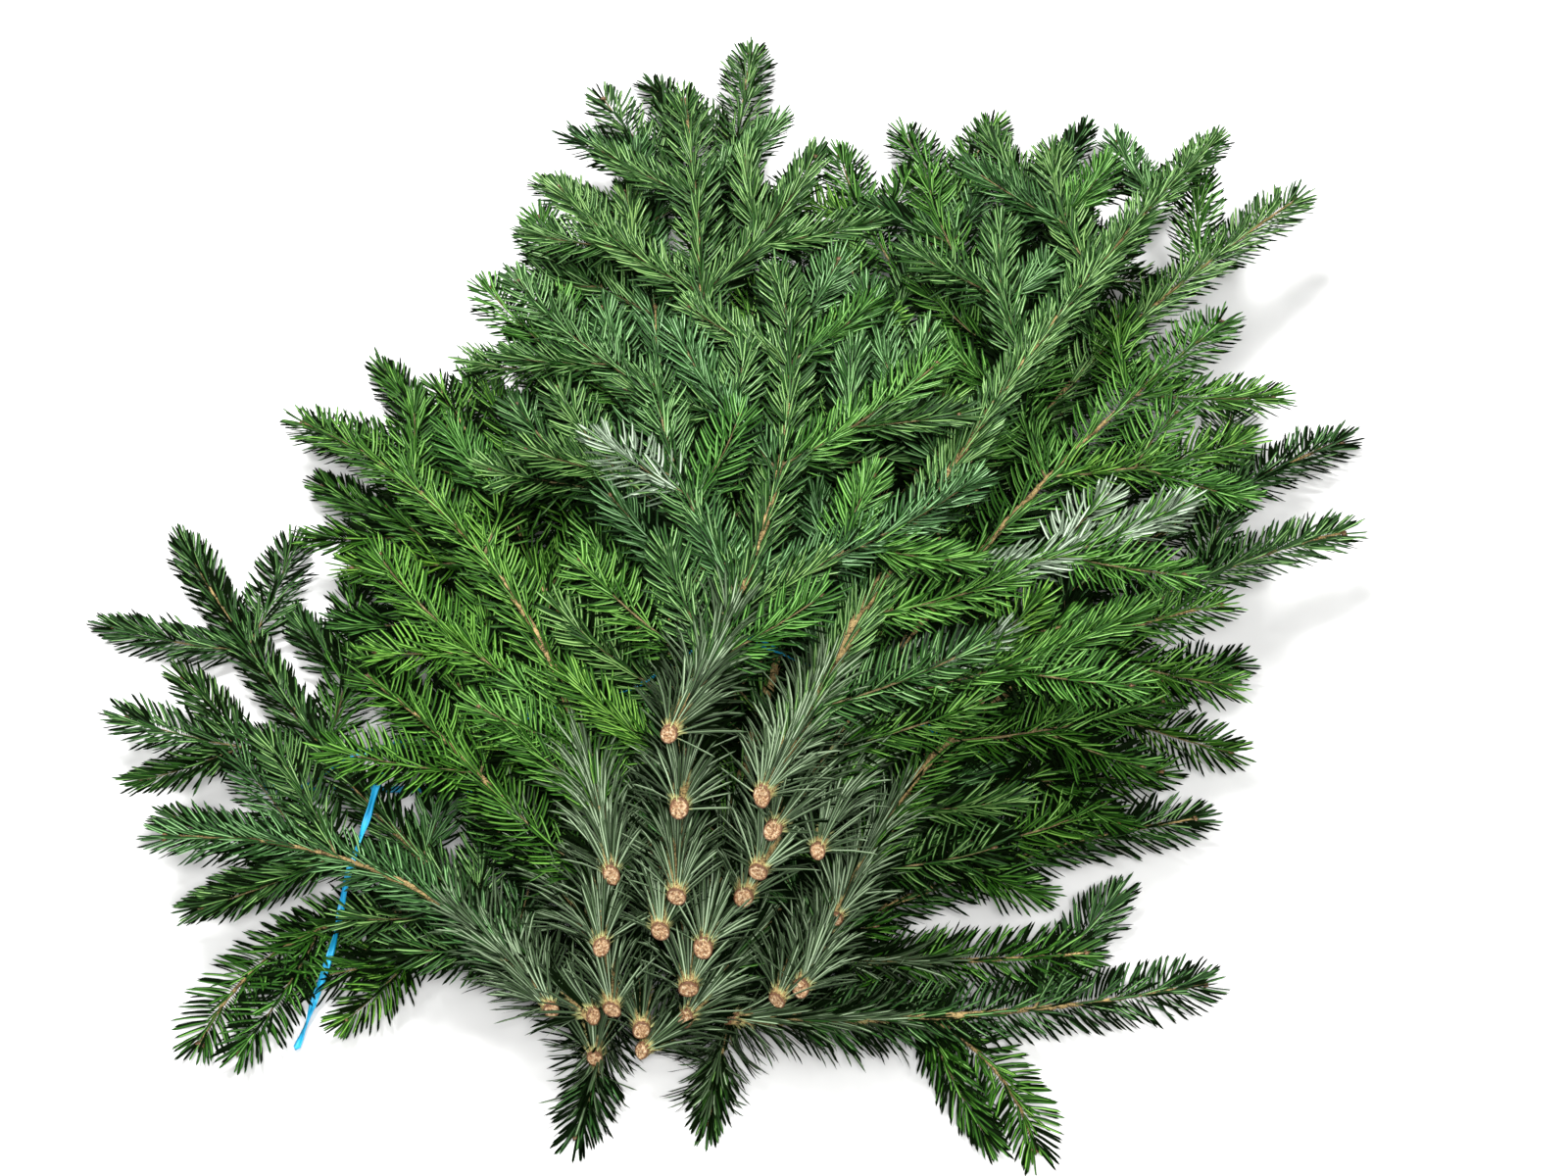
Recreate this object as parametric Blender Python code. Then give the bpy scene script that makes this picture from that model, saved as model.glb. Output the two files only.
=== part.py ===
"""A tied bundle of cut Nordmann fir boughs, lying on the ground with its cut ends to the front.

Each bough is a bare butt with a flat sawn end, and behind it one mass of foliage: a stem that bends
evenly, a pair of side shoots at each year's growth, and toothed blades for the sprays of needles. The
boughs are laid down one after the other, and each swings down and droops until it rests on the ground
or on those below it. Blue twine goes once round the pile, with a knot at its left side and a loose end.

Metres, +Z up, +Y to the back. The origin is on the ground, under the middle of the bundle.
"""

import math
import random
from typing import NamedTuple

import bmesh
import bpy
import numpy as np
from mathutils import Matrix, Vector
from mathutils.bvhtree import BVHTree

# Butts: thicker on a longer bough, and tapering towards the foliage
BUTT_LENGTH = 0.036
BUTT_SIDES = 10
THIN_BUTT = 0.0078
BUTT_GROWTH = 0.0060
BUTT_MIDDLE = 0.93
BUTT_TAPER = 0.84
SHARP_ANGLE = 40

# A year's shoot: the needles make it a flat blade, thicker along the twig in its middle
HALF_WIDTH = 0.022
SIDE_HALF_WIDTH = 0.020
RIDGE = 0.0060
KEEL = 0.0032
TOOTH_PITCH = 0.038
TOOTH_LEAN = 0.86
NOTCH = 0.38
FIRST_TOOTH = 0.75
LAST_TOOTH = 0.78

# Close behind the butt the foliage is slim, where the boughs are pressed together
SLIM_LENGTH = 0.12
SLIM_SHARE = 0.42

# The stem inside the first stretch of foliage
CORE_LENGTH = 0.12
CORE_SIDES = 6
CORE_MIDDLE_RADIUS = 0.0034
CORE_END_RADIUS = 0.0022
CORE_SHORT_OF_TIP = 0.02
BLADE_SUNK = 0.004

# Side shoots: a pair at each year's end, counted back from the tip. They vary in place and length, and
# the two of a pair leave the stem a little above one another.
YEAR_GROWTH = 0.102
YEAR_SPREAD = (0.93, 1.05)
PAIR_SPREAD = 0.004
PAIR_STEP = 0.0006
LENGTH_SPREAD = (0.88, 1.08)
SIDE_LENGTHS = (0.088, 0.140, 0.170, 0.170)
SIDE_ANGLES = (42, 54)
SIDE_BEND = 26
SIDE_RISES = (-0.06, 0.10)
FIRST_SIDE = 0.07

# Laying down: a bough swings down about its sawn end until it touches, at each of these droops, and
# stays in the lowest of those places. Its stiff stretch behind the butt doesn't droop.
STIFF_LENGTH = 0.08
SLOPES = (0.80, -0.30)
SLOPE_STEPS = 44
SLOPE_HALVINGS = 8
DROOPS = (0.0, 0.15, 0.30, 0.45, 0.60, 0.80)
CLEARANCE = 0.00035

# Twine: its size, where it goes round the pile, how much it sags between the boughs it lies on (in
# metres a square metre), and where its knot sits and its loose end lies
TWINE_RADIUS = 0.0021
TWINE_SIDES = 6
TWINE_REACH = TWINE_RADIUS + CLEARANCE
TWINE_BACK = -0.070
TWINE_BAND = 0.04
TWINE_SAG = 9.0
TWINE_SLACK = 0.0006
LONGEST_RUN = 0.06
PROFILE_STEP = 0.001
KNOT_ACROSS = -0.195
KNOT_RADIUS = 0.0062
KNOT_LIFT = 0.0054
TAIL_END = (-0.240, -0.246)
SIGHT_HEIGHT = 1.0

# The twine's straight run along the ground, which the boughs lie over
GROUND_RUN_HALF = 0.5

BOTH, LEFT, RIGHT = (-1, 1), (-1,), (1,)


class Bough(NamedTuple):
    """Where the sawn end lies, the way the bough points (in degrees, clockwise from straight back),
    how far it turns over its length, that length, and the sides that bear its side shoots."""

    across: float
    back: float
    up: float
    heading: float
    sweep: float
    length: float
    sides: tuple = BOTH


# The boughs, from the bottom of the pile to its top
BOUGHS = [
    Bough(-0.065, -0.225, 0.0168, -172, 10, 0.075),
    Bough(0.007, -0.217, 0.0186, -160, -15, 0.075),
    Bough(-0.072, -0.261, 0.020, -5, -160, 0.315, LEFT),
    Bough(0.024, -0.228, 0.020, 66, 105, 0.19, RIGHT),
    Bough(0.003, -0.242, 0.032, 89, -15, 0.27, LEFT),
    Bough(0.032, -0.196, 0.018, 94, -10, 0.17),
    Bough(-0.046, -0.260, 0.027, 49, 28, 0.36, LEFT),
    Bough(-0.046, -0.252, 0.035, 0, -10, 0.55),
    Bough(-0.022, -0.248, 0.041, 31, 40, 0.43),
    Bough(-0.072, -0.247, 0.042, -46, 18, 0.455),
    Bough(-0.062, -0.245, 0.045, -6, -25, 0.54),
    Bough(-0.095, -0.245, 0.045, -32, -60, 0.27),
    Bough(0.028, -0.242, 0.050, 21, 37, 0.58, LEFT),
    Bough(-0.076, -0.200, 0.055, -26, -25, 0.22),
    Bough(-0.020, -0.238, 0.055, -1, 6, 0.81, LEFT),
    Bough(0.041, -0.238, 0.056, 20, 50, 0.49, LEFT),
    Bough(0.060, -0.200, 0.066, 18, 55, 0.34, RIGHT),
    Bough(-0.012, -0.224, 0.075, 10, 10, 0.74),
    Bough(-0.067, -0.224, 0.076, -3, -25, 0.46),
    Bough(-0.035, -0.219, 0.084, -3, -13, 0.59, RIGHT),
    Bough(0.010, -0.200, 0.088, 13, 12, 0.71),
    Bough(-0.062, -0.190, 0.095, -8, -42, 0.45, RIGHT),
    Bough(-0.026, -0.207, 0.100, -1, -6, 0.65),
    Bough(0.018, -0.199, 0.112, 17, 30, 0.68, LEFT),
    Bough(0.050, -0.192, 0.122, 10, 65, 0.25),
    Bough(0.026, -0.185, 0.132, 27, 13, 0.52),
    Bough(-0.024, -0.178, 0.142, 4, -10, 0.61),
    Bough(0.020, -0.174, 0.148, 24, 6, 0.67, LEFT),
    Bough(-0.029, -0.154, 0.177, 25, -34, 0.41),
]


class Shoot(NamedTuple):
    """An evenly bent twig: its start, its heading and turn in radians, its length, how much it rises
    for each metre, and the half-width of its needles."""

    start: np.ndarray
    heading: float
    sweep: float
    length: float
    rise: float
    half_width: float


def clear_scene():
    for obj in list(bpy.data.objects):
        bpy.data.objects.remove(obj, do_unlink=True)


def material(name, colour, roughness):
    made = bpy.data.materials.new(name)
    made.use_nodes = True
    shader = made.node_tree.nodes["Principled BSDF"]
    shader.inputs["Base Color"].default_value = (*colour, 1)
    shader.inputs["Roughness"].default_value = roughness
    made.diffuse_color = (*colour, 1)
    return made


def add_object(name, points, faces, finish):
    mesh = bpy.data.meshes.new(name)
    mesh.from_pydata([tuple(point) for point in points], [], [tuple(face) for face in faces])
    mesh.validate()
    mesh.materials.append(finish)
    obj = bpy.data.objects.new(name, mesh)
    bpy.context.scene.collection.objects.link(obj)
    return obj


def shade_round(obj):
    obj.data.shade_smooth()
    obj.data.set_sharp_from_angle(angle=math.radians(SHARP_ANGLE))


def along(shoot, distance):
    """The point of the shoot's arc this far from its start, and the heading there. The chord of an
    arc that turns by a is its length times sin(a / 2) / (a / 2), and points a / 2 past the start."""
    distance = np.asarray(distance, float)
    half_turn = shoot.sweep * distance / shoot.length / 2
    chord = distance * np.sinc(half_turn / np.pi)
    towards = shoot.heading + half_turn
    offset = np.stack([chord * np.sin(towards), chord * np.cos(towards), shoot.rise * distance], -1)
    return shoot.start + offset, shoot.heading + 2 * half_turn


def stem_of(bough):
    """The bough's own line, from its sawn end to its tip."""
    start = np.array([bough.across, bough.back, bough.up])
    heading, sweep = math.radians(bough.heading), math.radians(bough.sweep)
    return Shoot(start, heading, sweep, bough.length, 0, HALF_WIDTH)


def side_shoots(bough, stem, seed):
    """A pair of side shoots at each year's end. The older ones are longer, and all bend forwards."""
    rng = random.Random(seed)
    made = []
    for year, year_length in enumerate(SIDE_LENGTHS):
        place = bough.length - YEAR_GROWTH * (year + rng.uniform(*YEAR_SPREAD))
        if place < FIRST_SIDE:
            break
        for side in bough.sides:
            start, heading = along(stem, place + rng.uniform(-PAIR_SPREAD, PAIR_SPREAD))
            start[2] += PAIR_STEP * side
            angle = math.radians(rng.uniform(*SIDE_ANGLES)) * side
            bend = -math.radians(SIDE_BEND) * side * year_length / SIDE_LENGTHS[-1]
            rise = rng.uniform(*SIDE_RISES)
            length = year_length * rng.uniform(*LENGTH_SPREAD)
            made.append(Shoot(start, heading + angle, bend, length, rise, SIDE_HALF_WIDTH))
    return made


def slimness(distance):
    """The share of its full size that the foliage has this far behind the butt."""
    return SLIM_SHARE + (1 - SLIM_SHARE) * np.clip(distance / SLIM_LENGTH, 0, 1)


def blade(shoot, begin, slim):
    """Points and faces of a toothed blade. Its stations are evenly spaced along the shoot, each with a
    ridge above, a keel below and a notch on each side. A tooth reaches out of each notch, leaning
    forwards nearly to the next station, and the blade ends in a point."""
    teeth = max(2, round((shoot.length - begin) / TOOTH_PITCH))
    pitch = (shoot.length - begin) / teeth
    station = begin + pitch * np.arange(teeth)
    centre, heading = along(shoot, station)
    side = np.stack([np.cos(heading), -np.sin(heading), 0 * heading], -1)
    reach, reach_heading = along(shoot, station + TOOTH_LEAN * pitch)
    reach_side = np.stack([np.cos(reach_heading), -np.sin(reach_heading), 0 * heading], -1)
    share = slimness(station) if slim else np.ones(teeth)
    share[0] = min(share[0], FIRST_TOOTH)
    up = np.array([0, 0, 1])
    notch = (NOTCH * shoot.half_width * share)[:, None]
    tooth = (shoot.half_width * share)[:, None]
    tooth[-1] *= LAST_TOOTH
    points = np.concatenate([
        centre + up * (RIDGE * share)[:, None],
        centre - up * (KEEL * share)[:, None],
        centre - side * notch,
        centre + side * notch,
        reach - reach_side * tooth,
        reach + reach_side * tooth,
        along(shoot, [shoot.length])[0],
    ])
    ridge, keel, left, right, left_tip, right_tip = np.arange(6 * teeth).reshape(6, teeth).tolist()
    end = 6 * teeth
    faces = [(keel[0], left[0], ridge[0]), (keel[0], ridge[0], right[0])]
    for k in range(teeth):
        faces += [(ridge[k], left[k], left_tip[k]), (left[k], keel[k], left_tip[k])]
        faces += [(right[k], ridge[k], right_tip[k]), (keel[k], right[k], right_tip[k])]
        if k + 1 < teeth:
            n = k + 1
            faces += [(ridge[k], left_tip[k], ridge[n]), (ridge[n], left_tip[k], left[n])]
            faces += [(left_tip[k], keel[k], keel[n]), (left_tip[k], keel[n], left[n])]
            faces += [(right_tip[k], ridge[k], ridge[n]), (right_tip[k], ridge[n], right[n])]
            faces += [(keel[k], right_tip[k], keel[n]), (keel[n], right_tip[k], right[n])]
        else:
            faces += [(ridge[k], left_tip[k], end), (left_tip[k], keel[k], end)]
            faces += [(right_tip[k], ridge[k], end), (keel[k], right_tip[k], end)]
    return points, faces


def ring_faces(rings, sides, closed):
    """Four-sided faces between each ring of a tube and the next, and back to the first if closed."""
    faces = []
    for k in range(rings if closed else rings - 1):
        here, there = k * sides, (k + 1) % rings * sides
        for n in range(sides):
            m = (n + 1) % sides
            faces.append((here + n, there + n, there + m, here + m))
    return faces


def tube(points, runs, radii, sides):
    """A closed tube through the points, with flat ends. Each ring stands square to its run."""
    radii = np.broadcast_to(radii, len(points))
    runs = runs / np.linalg.norm(runs, axis=1)[:, None]
    level = np.cross(runs, [0, 0, 1])
    level /= np.linalg.norm(level, axis=1)[:, None]
    other = np.cross(level, runs)
    turn = 2 * np.pi * (np.arange(sides) + 0.5) / sides
    ring = level[:, None] * np.cos(turn)[:, None] + other[:, None] * np.sin(turn)[:, None]
    rings = points[:, None] + ring * radii[:, None, None]
    last = (len(points) - 1) * sides
    ends = [tuple(range(sides)), tuple(reversed(range(last, last + sides)))]
    return rings.reshape(-1, 3), ends + ring_faces(len(points), sides, False)


def shoot_tube(shoot, places, radii, sides):
    """A tube along a shoot, through these distances from its start."""
    points, heading = along(shoot, places)
    runs = np.stack([np.sin(heading), np.cos(heading), 0 * heading], -1)
    return tube(points, runs, radii, sides)


def butt_radius(bough):
    return (THIN_BUTT + BUTT_GROWTH * bough.length) / 2


def add_butt(name, bough, finish):
    places = np.array([0, 0.5, 1]) * BUTT_LENGTH
    radii = butt_radius(bough) * np.array([1, BUTT_MIDDLE, BUTT_TAPER])
    obj = add_object(name, *shoot_tube(stem_of(bough), places, radii, BUTT_SIDES), finish)
    shade_round(obj)
    return obj


def united(name, pieces, finish):
    """One object with the pieces joined into one body."""
    first, *rest = [add_object(f"{name}_piece", *piece, finish) for piece in pieces]
    group = bpy.data.collections.new(name)
    bpy.context.scene.collection.children.link(group)
    for obj in rest:
        group.objects.link(obj)
    join = first.modifiers.new("join", "BOOLEAN")
    join.operation = "UNION"
    join.operand_type = "COLLECTION"
    join.collection = group
    join.solver = "EXACT"
    bpy.context.view_layer.update()
    mesh = bpy.data.meshes.new_from_object(first.evaluated_get(bpy.context.evaluated_depsgraph_get()))
    for obj in (first, *rest):
        bpy.data.objects.remove(obj, do_unlink=True)
    bpy.data.collections.remove(group)
    mesh.name = name
    obj = bpy.data.objects.new(name, mesh)
    bpy.context.scene.collection.objects.link(obj)
    return obj


def add_foliage(name, bough, seed, finish):
    stem = stem_of(bough)
    begin = BUTT_LENGTH + CLEARANCE
    core_length = min(CORE_LENGTH, bough.length - begin - CORE_SHORT_OF_TIP)
    core_places = begin + np.array([0, 0.5, 1]) * core_length
    core_radii = np.array([butt_radius(bough) * BUTT_TAPER, CORE_MIDDLE_RADIUS, CORE_END_RADIUS])
    core = shoot_tube(stem, core_places, core_radii, CORE_SIDES)
    sides = [blade(shoot, 0, False) for shoot in side_shoots(bough, stem, seed)]
    return united(name, [core, blade(stem, begin + BLADE_SUNK, True), *sides], finish)


def points_of(mesh):
    found = np.empty(len(mesh.vertices) * 3)
    mesh.vertices.foreach_get("co", found)
    return found.reshape(-1, 3)


def triangles_of(mesh):
    mesh.calc_loop_triangles()
    found = np.empty(len(mesh.loop_triangles) * 3, int)
    mesh.loop_triangles.foreach_get("vertices", found)
    return found.reshape(-1, 3)


def tree_of(points, triangles):
    return BVHTree.FromPolygons(points.tolist(), triangles.tolist())


def laid(points, bough, slope, droop):
    """The points of a bough, raised by the slope times their distance from its sawn end, and sunk by
    the droop times the square of what lies past the stiff stretch."""
    distance = np.hypot(points[:, 0] - bough.across, points[:, 1] - bough.back)
    moved = points.copy()
    moved[:, 2] += slope * distance - droop * np.maximum(distance - STIFF_LENGTH, 0) ** 2
    return moved


def lowest_slope(touches):
    """Lowers the slope from its highest value, and returns the last one that doesn't touch."""
    slope, end = SLOPES
    step = (end - slope) / SLOPE_STEPS
    if touches(slope):
        return None
    while slope + step > end and not touches(slope + step):
        slope += step
    for _ in range(SLOPE_HALVINGS):
        step /= 2
        if not touches(slope + step):
            slope += step
    return slope


def lay_down(butt, foliage, bough, resting):
    """Lowers a bough onto what lies there already, to where its foliage lies lowest, just clear."""
    parts = [(points_of(piece.data), triangles_of(piece.data)) for piece in (butt, foliage)]

    def touches(slope, droop):
        for points, triangles in parts:
            lowered = laid(points, bough, slope, droop) - [0, 0, CLEARANCE]
            if lowered[:, 2].min() < -CLEARANCE:
                return True
            tree = tree_of(lowered, triangles)
            if any(tree.overlap(other) for other in resting):
                return True
        return False

    places = []
    for droop in DROOPS:
        slope = lowest_slope(lambda value: touches(value, droop))
        if slope is not None:
            height = laid(parts[1][0], bough, slope, droop)[:, 2].mean()
            places.append((height, slope, droop))
    if not places:
        raise ValueError(f"{foliage.name} starts inside another bough")
    _, slope, droop = min(places)
    for piece, (points, triangles) in zip((butt, foliage), parts):
        moved = laid(points, bough, slope, droop)
        piece.data.vertices.foreach_set("co", moved.ravel())
        piece.data.update()
        resting.append(tree_of(moved, triangles))


def profile_of(trees, start, run, length):
    """How high the pile reaches along a level line: for each step, the highest place that the middle
    of the twine would have, lying on what is within its reach there."""
    across = np.array([-run[1], run[0], 0])
    steps = np.arange(0, length, PROFILE_STEP)
    heights = np.zeros(len(steps))
    for offset in np.linspace(-TWINE_REACH, TWINE_REACH, 5):
        for index, place in enumerate(start + run * steps[:, None] + across * offset):
            eye = Vector((place[0], place[1], SIGHT_HEIGHT))
            for tree in trees:
                hit = tree.ray_cast(eye, Vector((0, 0, -1)))[0]
                if hit:
                    heights[index] = max(heights[index], hit.z)
    width = math.floor(TWINE_REACH / PROFILE_STEP)
    padded = np.pad(heights, width)
    lifted = []
    for n in range(-width, width + 1):
        lift = math.sqrt(TWINE_REACH**2 - (n * PROFILE_STEP) ** 2)
        lifted.append(padded[width + n:width + n + len(steps)] + lift)
    return steps, np.max(lifted, axis=0)


def hung_over(steps, heights, sag):
    """The lowest line over the profile that sags no more than this: each height becomes a cap that
    falls away with the square of the distance, and the caps' outline is then rolled back."""
    apart = sag * (steps[:, None] - steps) ** 2
    caps = (heights - apart).max(axis=1)
    return (caps + apart).min(axis=1)


def few_points(steps, heights):
    """Fewer points of the line: each next one is as far on as a straight run can go without dipping
    below the line or rising over it by more than the twine's slack."""
    kept = [0]
    while kept[-1] < len(steps) - 1:
        here = kept[-1]
        best = here + 1
        for there in range(here + 2, min(here + round(LONGEST_RUN / PROFILE_STEP), len(steps))):
            span = slice(here, there + 1)
            chord = np.interp(steps[span], steps[[here, there]], heights[[here, there]])
            over = chord - heights[span]
            if over.min() > -CLEARANCE / 4 and over.max() < TWINE_SLACK:
                best = there
        kept.append(best)
    return np.array(kept)


def path_over(trees, pieces):
    """The twine's points over the pile, from the left flank to the right one."""
    near = pieces[np.abs(pieces[:, 1] - TWINE_BACK) < TWINE_BAND, 0]
    left = near.min() - TWINE_REACH
    start = np.array([left, TWINE_BACK, 0])
    steps, heights = profile_of(trees, start, np.array([1, 0, 0]), near.max() + TWINE_REACH - left)
    covered = np.flatnonzero(heights > TWINE_REACH + CLEARANCE)
    span = slice(covered[0], covered[-1] + 1)
    steps, heights = steps[span], hung_over(steps[span], heights[span], TWINE_SAG) + CLEARANCE / 2
    few = few_points(steps, heights)
    return np.stack([left + steps[few], np.full(len(few), TWINE_BACK), heights[few]], -1)


def ring(over):
    """The ring of twine: over the pile, down both flanks, and straight back along the ground."""
    ground = np.array([[over[-1, 0], TWINE_BACK, TWINE_RADIUS], [over[0, 0], TWINE_BACK, TWINE_RADIUS]])
    ground[:, 0] += (TWINE_RADIUS, -TWINE_RADIUS)
    points = np.concatenate([over, ground])
    run = np.roll(points, -1, axis=0) - np.roll(points, 1, axis=0)
    run /= np.linalg.norm(run, axis=1)[:, None]
    level = np.tile([0.0, -1.0, 0.0], (len(points), 1))
    other = np.cross(level, run)
    turn = 2 * np.pi * (np.arange(TWINE_SIDES) + 0.5) / TWINE_SIDES
    rings = level[:, None] * np.cos(turn)[:, None] + other[:, None] * np.sin(turn)[:, None]
    rings = points[:, None] + TWINE_RADIUS * rings
    return rings.reshape(-1, 3), ring_faces(len(points), TWINE_SIDES, True)


def knot_place(over):
    """On the ring's left flank, and raised off it so that the knot stays clear of the needles."""
    seat = np.searchsorted(over[:, 0], KNOT_ACROSS)
    slope = over[seat] - over[seat - 1]
    slope /= np.linalg.norm(slope)
    outwards = np.array([-slope[2], 0, slope[0]])
    place = over[seat - 1] + slope * (KNOT_ACROSS - over[seat - 1, 0]) / slope[0]
    return place + outwards * KNOT_LIFT


def ball(centre, radius):
    """Points and faces of a round knot."""
    made = bmesh.new()
    bmesh.ops.create_icosphere(made, subdivisions=1, radius=radius)
    points = np.array([vertex.co for vertex in made.verts]) + centre
    faces = [tuple(vertex.index for vertex in face.verts) for face in made.faces]
    made.free()
    return points, faces


def loose_end(trees, knot):
    """The loose end, lying from the knot over what is in its way, down to the ground."""
    foot = knot * [1, 1, 0]
    run = np.array([*TAIL_END, 0]) - foot
    length = np.linalg.norm(run)
    run /= length
    steps, heights = profile_of(trees, foot, run, length)
    heights = np.maximum(heights, TWINE_RADIUS)
    heights[0] = knot[2]
    heights = hung_over(steps, heights, TWINE_SAG) + CLEARANCE / 2
    few = few_points(steps, heights)
    points = foot + steps[few, None] * run + heights[few, None] * [0, 0, 1]
    return tube(points, np.gradient(points, axis=0), TWINE_RADIUS, TWINE_SIDES)


def add_twine(trees, pieces, finish):
    over = path_over(trees, pieces)
    knot = knot_place(over)
    parts = [ring(over), ball(knot, KNOT_RADIUS), loose_end(trees, knot)]
    shade_round(united("twine", parts, finish))


def ground_run():
    """A bar as high as the twine, where it runs along the ground: what lies above it stays clear."""
    size = np.array([GROUND_RUN_HALF, TWINE_REACH + CLEARANCE, 2 * TWINE_REACH + 2 * CLEARANCE])
    corners = np.array([(x, y, z) for x in (-1, 1) for y in (-1, 1) for z in (0, 1)])
    top, front, back = [(1, 5, 7), (1, 7, 3)], [(0, 4, 5), (0, 5, 1)], [(2, 3, 7), (2, 7, 6)]
    return tree_of(corners * size + [0, TWINE_BACK, 0], np.array(top + front + back))


def stand_at_origin():
    """Moves everything so that the bundle stands on the ground, with the origin under its middle."""
    meshes = [obj.data for obj in bpy.context.scene.objects]
    everything = np.concatenate([points_of(mesh) for mesh in meshes])
    low, high = everything.min(axis=0), everything.max(axis=0)
    shift = Matrix.Translation((-(low[0] + high[0]) / 2, -(low[1] + high[1]) / 2, -low[2]))
    for mesh in meshes:
        mesh.transform(shift)


def main():
    clear_scene()
    wood = material("fir wood", (0.55, 0.36, 0.18), 0.8)
    blue = material("blue twine", (0.02, 0.42, 0.66), 0.4)
    greens = [
        material("dark fir needles", (0.03, 0.10, 0.035), 0.45),
        material("green fir needles", (0.05, 0.15, 0.03), 0.45),
        material("fresh fir needles", (0.08, 0.22, 0.03), 0.45),
    ]
    resting = [ground_run()]
    for number, bough in enumerate(BOUGHS, 1):
        butt = add_butt(f"bough_{number:02d}_butt", bough, wood)
        foliage = add_foliage(f"bough_{number:02d}_foliage", bough, number, greens[number % len(greens)])
        lay_down(butt, foliage, bough, resting)
    pieces = np.concatenate([points_of(obj.data) for obj in bpy.context.scene.objects])
    add_twine(resting[1:], pieces, blue)
    stand_at_origin()


main()
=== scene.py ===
import math
import random

import bmesh
import bpy
import numpy as np
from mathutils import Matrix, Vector
from mathutils.bvhtree import BVHTree


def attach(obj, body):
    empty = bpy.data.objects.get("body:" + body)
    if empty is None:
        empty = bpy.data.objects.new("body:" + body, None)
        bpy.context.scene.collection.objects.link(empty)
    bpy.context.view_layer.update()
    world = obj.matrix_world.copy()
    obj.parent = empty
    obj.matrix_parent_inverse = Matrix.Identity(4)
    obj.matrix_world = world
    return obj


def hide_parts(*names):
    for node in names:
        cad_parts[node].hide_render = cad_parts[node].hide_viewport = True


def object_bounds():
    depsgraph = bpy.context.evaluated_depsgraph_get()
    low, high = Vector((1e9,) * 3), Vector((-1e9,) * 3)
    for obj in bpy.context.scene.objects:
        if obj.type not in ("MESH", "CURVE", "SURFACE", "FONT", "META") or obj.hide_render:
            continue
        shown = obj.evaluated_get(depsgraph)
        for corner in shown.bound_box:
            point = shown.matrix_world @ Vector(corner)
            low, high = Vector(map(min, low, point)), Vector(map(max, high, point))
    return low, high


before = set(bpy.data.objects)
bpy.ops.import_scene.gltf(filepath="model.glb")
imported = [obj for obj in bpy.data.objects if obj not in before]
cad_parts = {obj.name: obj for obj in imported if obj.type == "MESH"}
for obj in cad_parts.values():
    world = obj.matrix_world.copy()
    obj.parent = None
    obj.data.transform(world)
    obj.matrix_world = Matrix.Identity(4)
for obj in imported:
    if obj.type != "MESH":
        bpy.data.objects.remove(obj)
solids_low, solids_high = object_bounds()

# Where the bundle is seen from. It lies on a pale floor, and the eye stands over the sawn ends and looks
# back and down along the boughs, with the long lens of someone who leans in from a step away.
LENS = 0.070
SENSOR_WIDTH = 0.036
EYE_DISTANCE = 1.8
EYE_ELEVATION = math.radians(52)
LOOKED_AT = (0.0252, -0.1123, 0.08)

eye = bpy.data.cameras.new("eye")
eye.lens = LENS * 1000
eye.sensor_width = SENSOR_WIDTH * 1000
eye.clip_start = 0.05
eye_object = bpy.data.objects.new("eye", eye)
eye_object.location = (
    LOOKED_AT[0],
    LOOKED_AT[1] - EYE_DISTANCE * math.cos(EYE_ELEVATION),
    LOOKED_AT[2] + EYE_DISTANCE * math.sin(EYE_ELEVATION),
)
eye_object.rotation_euler = (math.pi / 2 - EYE_ELEVATION, 0, 0)
bpy.context.scene.collection.objects.link(eye_object)
bpy.context.scene.camera = eye_object


# The floor is a plain pale sheet. A wide soft light hangs behind the tips, where it draws a streak along
# each needle, with weaker ones at both sides, and a dim room leaves the gaps between the needles dark.
FLOOR_HALF = 6.0
FLOOR_COLOUR = (0.80, 0.80, 0.79)
LIGHTS = [
    ((-0.6, 1.1, 2.3), 0.8, 102.0),
    ((-1.7, -0.8, 2.2), 0.8, 12.0),
    ((1.6, -0.7, 2.0), 0.8, 18.0),
    ((0.1, -1.6, 2.2), 0.6, 58.0),
]
ROOM_LIGHT = 0.15


def new_material(name, roughness, specular=0.5):
    """A material, its node tree, and its shader's sockets."""
    made = bpy.data.materials.new(name)
    made.use_nodes = True
    shader = made.node_tree.nodes["Principled BSDF"]
    shader.inputs["Roughness"].default_value = roughness
    shader.inputs["Specular IOR Level"].default_value = specular
    return made, made.node_tree, shader.inputs


floor_paint, floor_nodes, floor_inputs = new_material("pale floor", 0.9)
floor_inputs["Base Color"].default_value = (*FLOOR_COLOUR, 1)
corners = np.array([(-1, -1, 0), (1, -1, 0), (1, 1, 0), (-1, 1, 0)]) * FLOOR_HALF
floor_mesh = bpy.data.meshes.new("floor")
floor_mesh.from_pydata(corners.tolist(), [], [(0, 1, 2, 3)])
floor_mesh.materials.append(floor_paint)
floor = bpy.data.objects.new("floor", floor_mesh)
bpy.context.scene.collection.objects.link(floor)

for number, (place, size, watts) in enumerate(LIGHTS):
    lamp = bpy.data.lights.new(f"soft_light_{number}", "AREA")
    lamp.size = size
    lamp.energy = watts
    lamp_object = bpy.data.objects.new(lamp.name, lamp)
    lamp_object.location = place
    towards = np.array(LOOKED_AT) - place
    flat = math.hypot(towards[0], towards[1])
    lamp_object.rotation_euler = (math.atan2(flat, -towards[2]), 0, math.atan2(-towards[0], towards[1]))
    bpy.context.scene.collection.objects.link(lamp_object)

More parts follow.
